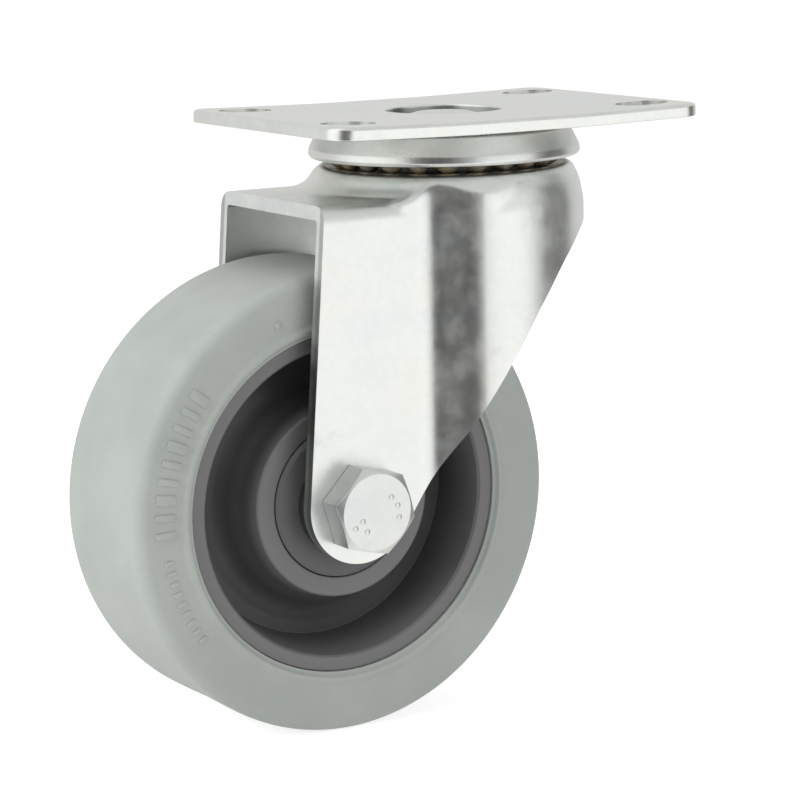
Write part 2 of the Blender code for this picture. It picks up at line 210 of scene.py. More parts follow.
def new_finish(name):
    """An empty material, with its Principled node and the place on the piece."""
    material = bpy.data.materials.new(name)
    material.use_nodes = True
    tree = material.node_tree
    shader = tree.nodes["Principled BSDF"]
    tool = Shade(tree)
    place = tool.node("ShaderNodeTexCoord", output="Object")
    return material, tool, shader, place


def feed(tool, shader, **values):
    """Links or sets the Principled node's sockets. Base_Color stands for Base Color."""
    for name, value in values.items():
        socket = shader.inputs[name.replace("_", " ")]
        if isinstance(value, Shade):
            tool.tree.links.new(value.socket, socket)
        else:
            socket.default_value = value


print("a finish is written as sums on sockets")

# %% [markdown]
# ## Zinc plating
# Bright zinc is satin metal. Its polish wanders a little, so broad reflections are soft and
# cloudy, and the passivated skin has a faint tint that drifts from straw through green to
# blue across a few centimetres. Rolling marks run along the sheet, and tiny pits scatter
# the light. The tints stay weak, or it would look like oil.

# %% Zinc, for the pressings
STRAW = (0.81, 0.815, 0.785, 1)
SEA_BLUE = (0.775, 0.805, 0.80, 1)
ZINC_WHITE = (0.80, 0.82, 0.80, 1)


def zinc_finish(name, grain=(1.0, 1.0, 1.0), polish=0.27, brightness=1.0, shaded_rear_edge=False,
                shaded_dish=False):
    """Zinc-plated steel. grain stretches the rolling marks along one direction.

    shaded_rear_edge paints shade as a dark stripe on the outer half of the fork's cut edges
    at the back, and shaded_dish paints shade into the plate's middle dish, round the pin.
    """
    material, tool, shader, place = new_finish(name)
    drift = tool.noise(place, 28, 2)
    second = tool.noise(tool.stretched(place, (1, 1, 1.7)), 47, 3)
    tinted = tool.mix(tool.ramp(drift, 0.44, 0.60), ZINC_WHITE, STRAW)
    tinted = tool.mix(tool.ramp(second, 0.50, 0.66), tinted, SEA_BLUE)
    spangle = tool.node("ShaderNodeTexVoronoi", {"feature": "F1"},
                        {"Vector": place, "Scale": 620})
    cloud = tool.noise(place, 160, 5, 0.62)
    stain = tool.ramp(tool.noise(place, 75, 6, 0.7), 0.60, 0.76)
    dim = tool.ramp(cloud, 0.25, 0.75, 0.93 * brightness, 1.03 * brightness)
    dim = dim * (1 - stain * 0.10) * tool.ramp(spangle, 0.0, 0.9, 1.012, 0.985)
    colour = tool.node("ShaderNodeVectorMath", {"operation": "SCALE"},
                       {0: tinted, "Scale": dim})
    # Painted shade: a dark stripe on the outer half of the cut edges that face -X.
    if shaded_rear_edge:
        facing = tool.node("ShaderNodeTexCoord", output="Normal")
        facing = tool.node("ShaderNodeSeparateXYZ", None, {0: facing}, output="X")
        side = tool.node("ShaderNodeSeparateXYZ", None, {0: place}, output="Y")
        depth = side.maths("ABSOLUTE", side, 0) + 0.0005 * tool.noise(place, 500, 3)
        edge_shade = tool.ramp(facing, -0.75, -0.92) * tool.ramp(depth, 20.9 * MM, 21.6 * MM)
        edge_shade = edge_shade * tool.ramp(depth, 23.0 * MM, 22.7 * MM)
        colour = tool.mix(edge_shade * 0.62, colour, (0.30, 0.32, 0.30, 1))
    # Painted shade: the recessed dish round the pin is darkened.
    if shaded_dish:
        deep = tool.node("ShaderNodeSeparateXYZ", None, {0: place}, output="Z")
        deep = deep + 0.0004 * tool.noise(place, 300, 3)
        across = tool.node("ShaderNodeVectorMath", {"operation": "MULTIPLY"},
                           {0: place, 1: (1, 1, 0)})
        across = tool.node("ShaderNodeVectorMath", {"operation": "LENGTH"}, {0: across},
                           output="Value")
        dish_shade = tool.ramp(deep, 0.0, -0.5 * MM) * tool.ramp(across, 14.0 * MM, 13.2 * MM)
        colour = tool.mix(dish_shade * 0.75, colour, (0.16, 0.18, 0.17, 1))
    marks = tool.noise(tool.stretched(place, grain), 1500, 3, 0.6)
    pits = tool.ramp(tool.noise(place, 900, 4, 0.6), 0.62, 0.80)
    satin = polish + 0.10 * tool.ramp(cloud, 0.3, 0.7) + 0.05 * stain + 0.03 * marks
    relief = marks * 0.5 + cloud * 0.8 - pits * 0.7
    feed(tool, shader, Base_Color=colour, Roughness=satin, Metallic=1.0,
         Normal=tool.bump(relief, 0.006))
    return material


# The fork's sheet gets painted shade on its rear cut edges.
zinc_sheet = zinc_finish("zinc_sheet", grain=(1, 1, 0.12), shaded_rear_edge=True)
# The deck plate gets painted shade in its dish.
zinc_plate = zinc_finish("zinc_plate", grain=(0.12, 1, 1), polish=0.24, shaded_dish=True)
zinc_turned = zinc_finish("zinc_turned", grain=(1, 1, 3), polish=0.25, brightness=0.93)
zinc_forged = zinc_finish("zinc_forged", polish=0.33, brightness=0.96)
print("zinc: sheet, plate, turned and forged")

# %% [markdown]
# ## Rubber, plastic, nylon and greased steel
# Grey non-marking rubber is nearly flat in colour, with a soft sheen and a fine mould
# texture, and a pale bloom where it has been handled. The core is glass-filled plastic:
# darker, a little glossier, with flow marks. Both need roughness that varies, because an
# even one is what makes a render look like clay. The balls sit in brown grease.

# %% Rubber and plastics


def rubber_finish():
    material, tool, shader, place = new_finish("grey_rubber")
    bloom_and_painted_light = tool.noise(place, 38, 4, 0.6)
    speck = tool.noise(place, 1400, 3, 0.6)
    colour = tool.mix(tool.ramp(bloom_and_painted_light, 0.35, 0.70), (0.245, 0.264, 0.247, 1),
                      (0.275, 0.294, 0.275, 1))
    colour = tool.mix(tool.ramp(speck, 0.58, 0.80) * 0.35, colour, grey(0.19))
    skin = tool.noise(place, 2600, 3, 0.55)
    relief = skin * 0.6 + tool.noise(place, 420, 3, 0.5) * 1.3
    feed(tool, shader, Base_Color=colour, Roughness=0.50 + 0.14 * bloom_and_painted_light + 0.05 * speck,
         Normal=tool.bump(relief, 0.014))
    shader.inputs["Specular IOR Level"].default_value = 0.42
    shader.inputs["Sheen Weight"].default_value = 0.06
    shader.inputs["Sheen Roughness"].default_value = 0.5
    return material


def plastic_finish(name, level, warmth, gloss, bloom_and_painted_light=None):
    """Moulded plastic. bloom_and_painted_light is the painted light on the outer faces."""
    material, tool, shader, place = new_finish(name)
    flow = tool.noise(tool.stretched(place, (1, 0.5, 1)), 60, 4, 0.6)
    fibre = tool.noise(tool.stretched(place, (1, 0.3, 1)), 1900, 3, 0.6)
    colour = tool.mix(tool.ramp(flow, 0.3, 0.75), grey(level * 0.90, warmth),
                      grey(level * 1.14, warmth))
    colour = tool.mix(tool.ramp(fibre, 0.60, 0.85) * 0.4, colour, grey(level * 1.7))
    # Painted light and shade: the outer faces are made lighter than the deep web between
    # them.
    if bloom_and_painted_light:
        side = tool.node("ShaderNodeSeparateXYZ", None, {0: place}, output="Y")
        outer = tool.ramp(side.maths("ABSOLUTE", side, 0), 3 * MM, 16 * MM)
        colour = tool.mix(outer, colour, grey(bloom_and_painted_light))
    relief = fibre * 0.8 + tool.noise(place, 500, 3, 0.5)
    feed(tool, shader, Base_Color=colour, Roughness=gloss + 0.14 * flow + 0.05 * fibre,
         Normal=tool.bump(relief, 0.010))
    return material


def steel_finish(name, colour_a, colour_b, gloss, grain=(1.0, 1.0, 1.0), film_dulls=0.0):
    """Bare steel, or steel under grease: two colours that a film mixes."""
    material, tool, shader, place = new_finish(name)
    film = tool.ramp(tool.noise(place, 210, 5, 0.65), 0.35, 0.68)
    turning = tool.noise(tool.stretched(place, grain), 1300, 3, 0.6)
    feed(tool, shader, Base_Color=tool.mix(film, colour_a, colour_b),
         Roughness=gloss + 0.16 * film + 0.05 * turning, Metallic=1.0 - film_dulls * film,
         Normal=tool.bump(turning, 0.004))
    return material


grey_rubber = rubber_finish()
# The core gets painted light on its outer faces, so its deep web looks shaded.
core_plastic = plastic_finish("core_plastic", 0.045, 0.0, 0.36, bloom_and_painted_light=0.105)
cap_plastic = plastic_finish("cap_plastic", 0.075, 0.0, 0.40)
cage_nylon = plastic_finish("cage_nylon", 0.62, 0.05, 0.36)
greased_steel = steel_finish("greased_steel", (0.62, 0.58, 0.48, 1),
                             (0.34, 0.26, 0.14, 1), 0.24, film_dulls=0.8)
ground_steel = steel_finish("ground_steel", (0.55, 0.55, 0.54, 1), (0.46, 0.46, 0.44, 1),
                            0.16, grain=(1, 8, 1))
print("rubber, plastic, nylon and steel")

# %% [markdown]
# ## Drawing an outline
# Nearly every piece here starts as an outline: half of a turned profile, or the plan of a
# pressing. Corners are given with a rounding, as on a drawing, and a helper puts the arc
# in. The outline becomes a line of vertices: a plane is merged to one vertex, which is then
# extruded from point to point, as with E and a mouse.

# %% Arcs, corners and the traced line


def arc(centre, radius, start, end, steps):
    """Points along an arc, with angles in degrees anticlockwise from +X."""
    angles = [math.radians(start + (end - start) * k / steps) for k in range(steps + 1)]
    return [(centre[0] + radius * math.cos(a), centre[1] + radius * math.sin(a))
            for a in angles]


def rounded(corners, steps=6):
    """Rounds a closed outline. A corner is (u, v) or (u, v, radius)."""
    points = []
    for k, corner in enumerate(corners):
        here = Vector(corner[:2])
        radius = corner[2] if len(corner) > 2 else 0
        if not radius:
            points.append(tuple(here))
            continue
        before = Vector(corners[k - 1][:2]) - here
        after = Vector(corners[(k + 1) % len(corners)][:2]) - here
        half = before.angle(after) / 2
        reach = min(radius / math.tan(half), before.length * 0.49, after.length * 0.49)
        radius = reach * math.tan(half)
        inward = (before.normalized() + after.normalized()).normalized()
        centre = here + inward * radius / math.sin(half)
        start = here + before.normalized() * reach - centre
        end = here + after.normalized() * reach - centre
        first = math.degrees(math.atan2(start.y, start.x))
        turn = (math.degrees(math.atan2(end.y, end.x)) - first + 180) % 360 - 180
        points += arc(centre, radius, first, first + turn, steps)
    return points


def use(piece):
    """Makes a piece the only one that operators act on."""
    if bpy.context.mode != "OBJECT":
        bpy.ops.object.mode_set(mode="OBJECT")
    bpy.ops.object.select_all(action="DESELECT")
    piece.select_set(True)
    bpy.context.view_layer.objects.active = piece
    return piece


def trace(name, points, closed=True):
    """A line of vertices through points in millimetres, its origin at the row's."""
    if bpy.context.mode != "OBJECT":
        bpy.ops.object.mode_set(mode="OBJECT")
    bpy.ops.object.select_all(action="DESELECT")
    places = [Vector(point) * MM for point in points]
    if closed:
        places.append(places[0])
    bpy.ops.mesh.primitive_plane_add(size=MM, location=places[0])
    piece = bpy.context.object
    piece.name = name
    bpy.ops.object.mode_set(mode="EDIT")
    bpy.ops.mesh.merge(type="CENTER")
    for start, end in zip(places, places[1:]):
        bpy.ops.mesh.extrude_vertices_move(TRANSFORM_OT_translate={"value": end - start})
    bpy.ops.mesh.select_all(action="SELECT")
    bpy.ops.mesh.remove_doubles(threshold=0.002 * MM)
    bpy.ops.object.mode_set(mode="OBJECT")
    bpy.ops.object.transform_apply(location=True)
    return piece


print("corner of a 10 mm square rounded by 2 mm:",
      len(rounded([(0, 0, 2), (10, 0, 2), (10, 10, 2), (0, 10, 2)])), "points")

# %% [markdown]
# ## Turned pieces and pressed pieces
# A turned piece is its half profile spun round the axis, as on a lathe. A pressed or sawn
# piece is its outline filled and extruded. Spinning can leave a mesh inside out, so doubles
# are merged first and the normals are worked out again after it. Holes and trims are made
# with Boolean modifiers, which are applied at once. They leave slivers thinner than a
# hair, so the pieces with the most cuts are welded before they are shaded.

# %% Lathe, prism and the modifiers
ROUND_STEPS = 128
AXES = {"Z": (0, 0, 1), "Y": (0, 1, 0)}


def tidy_normals():
    bpy.ops.mesh.select_all(action="SELECT")
    bpy.ops.mesh.remove_doubles(threshold=0.002 * MM)
    bpy.ops.mesh.normals_make_consistent(inside=False)
    bpy.ops.object.mode_set(mode="OBJECT")


def turned(name, profile, axis="Z", centre=(0, 0, 0), steps=ROUND_STEPS):
    """Spins a profile of (radius, height) round an axis through centre, in millimetres."""
    centre = Vector(centre)
    points = [centre + (Vector((r, 0, h)) if axis == "Z" else Vector((r, h, 0)))
              for r, h in profile]
    on_axis = profile[0][0] == 0 and profile[-1][0] == 0
    piece = trace(name, points, closed=not on_axis)
    bpy.ops.object.mode_set(mode="EDIT")
    bpy.ops.mesh.select_all(action="SELECT")
    bpy.ops.mesh.spin(steps=steps, angle=2 * math.pi, center=centre * MM, axis=AXES[axis])
    tidy_normals()
    return piece


def prism(name, outline, low, high, plane="XY"):
    """Fills an outline and extrudes it, along Z for plane XY or along Y for plane XZ."""
    flat = [Vector((u, v, low)) if plane == "XY" else Vector((u, low, v)) for u, v in outline]
    piece = trace(name, flat)
    bpy.ops.object.mode_set(mode="EDIT")
    bpy.ops.mesh.select_all(action="SELECT")
    bpy.ops.mesh.edge_face_add()
    push = (high - low) * MM
    move = (0, 0, push) if plane == "XY" else (0, push, 0)
    bpy.ops.mesh.extrude_region_move(TRANSFORM_OT_translate={"value": move})
    tidy_normals()
    return piece


def modify(piece, kind, **settings):
    """Adds a modifier and applies it."""
    use(piece)
    change = piece.modifiers.new(kind.lower(), kind)
    for name, value in settings.items():
        setattr(change, name, value)
    bpy.ops.object.modifier_apply(modifier=change.name)


def cut(piece, tool, operation="DIFFERENCE"):
    """Cuts, joins or trims a piece with another, which is used up."""
    modify(piece, "BOOLEAN", operation=operation, solver="EXACT", object=tool)
    bpy.data.objects.remove(tool)


def soften(piece, width, segments=2, angle=50):
    """Rounds the edges that are sharper than an angle."""
    modify(piece, "BEVEL", width=width * MM, segments=segments, limit_method="ANGLE",
           angle_limit=math.radians(angle), miter_outer="MITER_ARC")


def weld(piece, gap=0.004):
    """Merges the slivers that cuts and bevels leave behind, and fills what opens."""
    use(piece)
    bpy.ops.object.mode_set(mode="EDIT")
    bpy.ops.mesh.select_all(action="SELECT")
    bpy.ops.mesh.remove_doubles(threshold=gap * MM)
    bpy.ops.mesh.dissolve_degenerate(threshold=gap * MM)
    bpy.ops.mesh.quads_convert_to_tris()
    bpy.ops.mesh.select_all(action="SELECT")
    bpy.ops.mesh.fill_holes(sides=8)
    bpy.ops.mesh.delete_loose()
    bpy.ops.object.mode_set(mode="OBJECT")


def round_edges(piece, wanted, radius, segments):
    """Rounds the edges whose two ends, in millimetres, pass a test."""
    use(piece)
    bpy.ops.object.mode_set(mode="EDIT")
    bpy.ops.mesh.select_mode(type="EDGE")
    bpy.ops.mesh.select_all(action="DESELECT")
    bpy.ops.object.mode_set(mode="OBJECT")
    corners = piece.data.vertices
    for edge in piece.data.edges:
        edge.select = all(wanted(corners[i].co / MM) for i in edge.vertices)
    bpy.ops.object.mode_set(mode="EDIT")
    bpy.ops.mesh.bevel(offset=radius * MM, segments=segments, affect="EDGES")
    bpy.ops.mesh.select_mode(type="VERT")
    tidy_normals()


def join(pieces):
    """Joins copies into the first of them, as one object with loose parts."""
    use(pieces[0])
    for piece in pieces:
        piece.select_set(True)
    bpy.ops.object.join()
    return pieces[0]


def fit(piece, body, slot, finish, *nodes, smooth=30, weighted=False):
    """Shades a finished piece, gives it its finish and hangs it on its body."""
    use(piece)
    bpy.ops.object.shade_smooth_by_angle(angle=math.radians(smooth))
    if weighted:
        modify(piece, "WEIGHTED_NORMAL", keep_sharp=True, weight=50)
    piece.data.materials.clear()
    piece.data.materials.append(finish)
    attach(piece, body)
    if nodes:
        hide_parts(*nodes)
    print(f"{piece.name}: {len(piece.data.polygons)} faces, rides on {body}")
    return piece


# %% [markdown]
# ## The deck plate
# A plain blanked plate: four slots for the fixing bolts, and a round dish pressed down in
# the middle, where the head of the king pin sits below the surface. A press leaves the
# upper rim rolled and the lower one square, so the outline is extruded and its upper edge
# rounded before the slots and the dish are cut. The dish's lip is one smooth curve in the
# tool that cuts it. Pressing the dish pulls the plate, so its ends lift by half a
# millimetre or so: the plate is bisected into strips, and the strips follow a curve.

# %% Deck plate
PLATE_THICKNESS = 2.8
SLOT_SPACING = (74.0, 45.0)
SLOT_REACH = 1.5
SLOT_RADIUS = 4.5
half_length, half_width = PLATE_LENGTH / 2, PLATE_WIDTH / 2
corners = [(sx * half_length, sy * half_width, 5)
           for sx, sy in ((1, 1), (-1, 1), (-1, -1), (1, -1))]
plate = prism("deck_plate", rounded(corners, 12), -PLATE_THICKNESS, 0)
round_edges(plate, lambda p: p.z > -0.01, 0.8, 4)
round_edges(plate, lambda p: p.z < 0.01 - PLATE_THICKNESS, 0.3, 2)

BOSS_LOW = plate_low.z
boss = turned("plate_boss", rounded([(0, BOSS_LOW), (13.4, BOSS_LOW, 1.2),
                                     (15, -PLATE_THICKNESS - 0.4), (15, -1.5), (0, -1.5)]))
cut(plate, boss, "UNION")
DISH_FLOOR = -2.4
dish = turned("plate_dish", rounded([(0, DISH_FLOOR), (12.4, DISH_FLOOR, 0.6),
                                     (12.9, 0.02, 0.5), (14, 0.05), (14, 2), (0, 2)], 8))
cut(plate, dish)
cut(plate, turned("pin_hole", [(0, -9), (6.3, -9), (6.3, 1), (0, 1)]))
for sx in (1, -1):
    for sy in (1, -1):
        x, y = sx * SLOT_SPACING[0] / 2, sy * SLOT_SPACING[1] / 2
        slot = (arc((x + SLOT_REACH, y), SLOT_RADIUS, -90, 90, 16)
                + arc((x - SLOT_REACH, y), SLOT_RADIUS, 90, 270, 16))
        cut(plate, prism("slot", slot, -6, 3))
soften(plate, 0.3, 3)

BOW = 0.65                             # how far the ends lift, in millimetres
FLAT_HALF = 12.0                       # the middle that the head holds flat
use(plate)
bpy.ops.object.mode_set(mode="EDIT")
for k in range(6):
    for sx in (1, -1):
        bpy.ops.mesh.select_all(action="SELECT")
        bpy.ops.mesh.bisect(plane_co=(sx * (FLAT_HALF + 5.6 * k) * MM, 0, 0),
                            plane_no=(1, 0, 0))
bpy.ops.object.mode_set(mode="OBJECT")
for corner in plate.data.vertices:
    beyond = abs(corner.co.x / MM) - FLAT_HALF
    if beyond > 0:
        corner.co.z += BOW * MM * (beyond / (half_length - FLAT_HALF)) ** 1.3
weld(plate)
fit(plate, "mount", "zinc_plated_steel", zinc_plate, "top_plate", weighted=True)

# %% [markdown]
# ## The swivel head's fixed pieces
# The cup under the plate is the upper race, flared so that it shields the balls. Under the
# fork's crown lies the lower race, a dished ring. The king pin holds the stack together:
# its head sits in the plate's dish and its other end is riveted under the lower race.
# All are turned shapes, so each is one rounded profile on the lathe.

# %% Cup, king pin and lower race
cup = turned("race_cup_shell", rounded([
    (15.4, -3.1), (26.0, -3.1, 1.4), (27.7, -4.0, 1.2), (29.6, -7.8, 1.5), (29.8, -9.2, 0.6),
    (29.2, -9.9, 0.4), (28.2, -10.1, 0.5), (27.4, -9.6, 0.3), (27.1, -7.6, 0.8),
    (25.8, -6.5, 1.5), (22.6, -6.0, 3), (19.5, -5.3, 2), (15.4, -5.3)]))
fit(cup, "mount", "zinc_plated_steel", zinc_turned, "race_cup")

pin = turned("king_pin", rounded([
    (0, -0.4), (5.6, -0.5, 5), (8.1, -1.2, 0.9), (8.6, -1.9, 0.3), (8.3, -2.1, 0.1),
    (6.0, -2.1), (6.0, -5.5), (8.0, -5.5), (8.0, -21.2), (6.0, -21.2), (6.0, -23.9),
    (9.8, -23.9, 0.3), (9.7, -25.0, 1.2), (6.8, -26.4, 2), (0, -26.6)]))
fit(pin, "mount", "bright_steel", zinc_turned, "kingpin")

race = turned("lower_race_dish", rounded([
    (6.3, -21.5), (10.8, -21.5, 2), (13.8, -21.2, 2), (16.2, -20.4, 1.5), (17.0, -18.4, 1),
    (18.0, -17.8, 0.3), (18.6, -18.6, 0.5), (17.6, -22.2, 2), (14.2, -23.5, 2.5),
    (6.3, -23.6)]))
fit(race, "mount", "zinc_plated_steel", zinc_turned, "lower_race")

# %% [markdown]
# ## The balls
# Two rings of hardened balls carry the load, in the grease that darkens the gap. A ball is
# modelled once, as an ico sphere that a subdivision rounds, and copied round its ring.
# Each ring moves as one, so its balls are joined into one piece.

# %% Ball rings


def ball_ring(name, count, body, prefix):
    """Copies a ball to each of the frame's places, and joins the ring."""
    balls = []
    nodes = [f"{prefix}_{k + 1:02d}" for k in range(count)]
    for node in nodes:
        low, high = span(node)
        bpy.ops.object.select_all(action="DESELECT")
        bpy.ops.mesh.primitive_ico_sphere_add(
            subdivisions=2, radius=(high.z - low.z) / 2 * MM, location=(low + high) / 2 * MM)
        ball = bpy.context.object
        bpy.ops.object.transform_apply(location=True)
        modify(ball, "SUBSURF", levels=1, render_levels=1)
        balls.append(ball)
    ring = join(balls)
    ring.name = name
    bpy.ops.object.transform_apply(location=True)
    fit(ring, body, "bright_steel", greased_steel, *nodes, smooth=60)


ball_ring("upper_ball_ring", 24, "upper_balls", "upper_ball")
ball_ring("lower_ball_ring", 12, "lower_balls", "lower_ball")

# %% [markdown]
# ## The fork: its plan
# The fork is one pressing. Seen from above, its round front wall sweeps in on both sides to
# two flat, parallel legs: a convex arc, a straight stretch and a concave arc. The plan is
# drawn once with an inset, so the same lines make the outside, the inside three
# millimetres in, and the trims of the crown.

# %% The fork's plan and side
DRUM_END = 104.0                       # where the round front ends, in degrees from +X
SWEEP = 38.0                           # slope of the straight stretch, in degrees
CONVEX = 14.0
CONCAVE = 8.0
ROOF_TOP = -16.5
ROOF_END = -43.2                       # the roof's rear edge


def fork_plan(inset, reach=8):
    """The closed plan of the fork, moved inwards by inset."""
    turn = DRUM_END - 90
    half = arc((0, 0), DRUM_RADIUS - inset, 0, -DRUM_END, 44)
    start, steep = math.radians(-DRUM_END), math.radians(SWEEP)
    toward = DRUM_RADIUS - CONVEX
    convex = (toward * math.cos(start), toward * math.sin(start))
    half += arc(convex, CONVEX - inset, -90 - turn, -90 - SWEEP, 10)[1:]
    end = (convex[0] - CONVEX * math.sin(steep), convex[1] - CONVEX * math.cos(steep))
    drop = -LEG_FACE - end[1] - CONCAVE * (1 - math.cos(steep))
    concave = (end[0] - drop / math.tan(steep) - CONCAVE * math.sin(steep),
               -LEG_FACE - CONCAVE)
    half += arc(concave, CONCAVE + inset, 90 - SWEEP, 90, 12)
    half.append((ROOF_END - reach, -LEG_FACE + inset))
    return half[::-1] + [(x, -y) for x, y in half[1:]]


def curve_through(points, steps):
    """A smooth line through points, by Catmull and Rom's rule."""
    line = []
    ends = [points[0]] + points + [points[-1]]
    for a, b, c, d in zip(ends, ends[1:], ends[2:], ends[3:]):
        for k in range(steps):
            t = k / steps
            line.append(tuple(
                0.5 * (2 * q + (r - p) * t + (2 * p - 5 * q + 4 * r - s) * t ** 2
                       + (3 * q - p - 3 * r + s) * t ** 3)
                for p, q, r, s in zip(a, b, c, d)))
    return line + [points[-1]]


def fork_side():
    """The fork from the side: raked rear edge, round boss and diagonal front edge."""
    elbow = (4.7, -41.4)
    away = (elbow[0] - WHEEL.x, elbow[1] - WHEEL.z)
    slope = (math.degrees(math.atan2(away[1], away[0]))
             + math.degrees(math.asin(BOSS_RADIUS / math.hypot(*away))))
    boss = arc((WHEEL.x, WHEEL.z), BOSS_RADIUS, 175, slope + 270, 40)
    front = curve_through([elbow, (11.2, -33.5), (15.4, -29.6), (20.3, -26.0),
                           (25.5, -24.0), (32, -23.4)], 6)
    return [(ROOF_END, 2), (ROOF_END, ROOF_TOP)] + boss + front + [(32, 2)]


print(f"fork plan {len(fork_plan(0))} points, side {len(fork_side())} points")

# %% [markdown]
# ## The fork: pressing it
# The plan is extruded and its upper edge rounded, which makes the folds over the legs. The
# crown is turned, with the groove that the upper balls run in. In front its flank runs
# straight down into the wall, and behind, a turned foot lands on the roof in a hollow
# curve. Drawn steel has no hard corners outside, so this skin is remeshed into small even
# faces and smoothed, which melts the seams between its parts. Then the inside is cut out,
# three millimetres in, and the side outline trims the legs to their taper, which leaves
# crisp edges where sheet steel shows its thickness.

# %% Fork
FOLD_OUTSIDE = 3.5
FOLD_INSIDE = 0.9
DRAW_SOFTENS = 9                       # passes of smoothing on the outer skin
fork = prism("fork_pressing", fork_plan(0), fork_low.z - 15, ROOF_TOP)
round_edges(fork, lambda p: p.z > ROOF_TOP - 0.01, FOLD_OUTSIDE, 8)
crown = turned("crown", rounded([
    (0, -11.7), (20.2, -11.7, 2), (22.0, -12.5, 1.5), (24.6, -12.5, 1.5),
    (25.9, CROWN_TOP, 0.8), (27.9, CROWN_TOP, 1.8), (29.6, -15.2, 5),
    (DRUM_RADIUS - 0.02, -19.8, 6), (DRUM_RADIUS - 0.02, -30), (0, -30)], 8))
FOOT = (34.6, -10.8)                   # centre of the hollow curve round the crown's foot
FOOT_CURVE = 6.0
foot = turned("crown_foot", [(0, -12.95)] + arc(FOOT, FOOT_CURVE, 201, 262, 12)
              + [(33.4, -17.6), (30, -19.5), (0, -19.5)])
cut(foot, turned("foot_fade", [(0, -50), (29.9, -50), (29.9, 5), (0, 5)], "Z", (-6, 0, 0)),
    "INTERSECT")
cut(crown, foot, "UNION")
cut(crown, prism("crown_trim", fork_plan(0.02), -40, 0), "INTERSECT")
cut(fork, crown, "UNION")
modify(fork, "REMESH", mode="VOXEL", voxel_size=0.65 * MM, adaptivity=0)
modify(fork, "SMOOTH", factor=0.5, iterations=DRAW_SOFTENS)
print(f"the drawn skin has {len(fork.data.polygons)} faces")

# %% Fork, its inside
PIN_HOLE = 9.5                         # radius of the hole in the crown
AXLE_BORE = 5.2                        # radius of the holes in the legs
inside = prism("room", fork_plan(SHEET, 20), fork_low.z - 30, ROOF_TOP - SHEET)
round_edges(inside, lambda p: p.z > ROOF_TOP - SHEET - 0.01, FOLD_INSIDE, 3)
hollow = turned("hollow", rounded([
    (0, -14.7), (19.6, -14.7, 2), (21.8, -15.5, 1.5), (25.0, -15.5, 2), (26.6, -17.0, 2),
    (27.3, -20.5, 4), (27.3, -26), (0, -26)], 6))
cut(hollow, prism("hollow_trim", fork_plan(SHEET + 0.03), -40, 0), "INTERSECT")
cut(inside, hollow, "UNION")
cut(inside, turned("crown_hole", [(0, -40), (PIN_HOLE, -40), (PIN_HOLE, 0), (0, 0)]),
    "UNION")
bore = [(0, -60), (AXLE_BORE, -60), (AXLE_BORE, 60), (0, 60)]
cut(inside, turned("axle_bore", rounded(bore), "Y", WHEEL, 64), "UNION")
cut(fork, inside)
cut(fork, prism("side_trim", fork_side(), -60, 60, "XZ"), "INTERSECT")
weld(fork)
triangles = sum(len(face.vertices) - 2 for face in fork.data.polygons)
assert triangles > 20000, "a cut of the fork went wrong"
print(f"the finished pressing has {triangles} triangles")
fit(fork, "fork", "zinc_plated_steel", zinc_sheet, "fork", smooth=32, weighted=True)

# %% [markdown]
# ## The axle bolt and its nut
# A forged hexagon bolt goes through both legs. Its head is a six-sided prism whose outer
# face is turned to a chamfer, so the corners curve away. The head carries plain raised pips.
# On the far side a lock nut with a nylon ring grips the thread, whose ridges are turned as
# rings: at this pitch nobody can tell them from a helix.

# %% Bolt and nut
FLATS = 17.0
HEX_TURN = -13.4
SHANK = 4.9
bolt_low, bolt_high = span("axle_bolt")
nut_low, nut_high = span("axle_nut")
hexagon = [(WHEEL.x + u, WHEEL.z + v)
           for u, v in arc((0, 0), FLATS / math.sqrt(3), HEX_TURN, HEX_TURN + 300, 5)]
HEAD_UNDER = -LEG_FACE - 0.1

bolt = prism("hex_bolt", hexagon, bolt_low.y, HEAD_UNDER, "XZ")
face = FLATS / 2 * 0.955
cut(bolt, turned("head_chamfer", rounded([
    (0, bolt_low.y), (face, bolt_low.y, 0.5), (10.8, bolt_low.y + 1.35), (10.8, -20),
    (0, -20)]), "Y", WHEEL), "INTERSECT")
soften(bolt, 0.25, 3, 35)
THREAD_PITCH = 1.5
thread_start = nut_high.y - 4
thread = [(SHANK, thread_start)]
while thread[-1][1] < bolt_high.y - 2 * THREAD_PITCH:
    y = thread[-1][1]
    thread += [(SHANK - 0.8, y + THREAD_PITCH / 2), (SHANK, y + THREAD_PITCH)]
shank = turned("shank", [(0, HEAD_UNDER - 1), (SHANK, HEAD_UNDER - 1)] + thread
               + [(SHANK - 0.9, bolt_high.y), (0, bolt_high.y)], "Y", WHEEL, 48)
cut(bolt, shank, "UNION")
pips = []
for u, v in ((3.4, 2.8), (4.9, 0.9), (5.2, -1.7), (-3.6, -1.6), (-2.6, -3.9), (-5.4, -2.9)):
    bpy.ops.object.select_all(action="DESELECT")
    bpy.ops.mesh.primitive_uv_sphere_add(
        segments=16, ring_count=10, radius=0.75 * MM, scale=(1, 0.32, 1),
        location=(Vector((WHEEL.x + u, bolt_low.y + 0.1, WHEEL.z + v))) * MM)
    bpy.ops.object.transform_apply(location=True, scale=True)
    pips.append(bpy.context.object)
bolt = join([bolt] + pips)
fit(bolt, "fork", "zinc_plated_steel", zinc_forged, "axle_bolt", weighted=True)

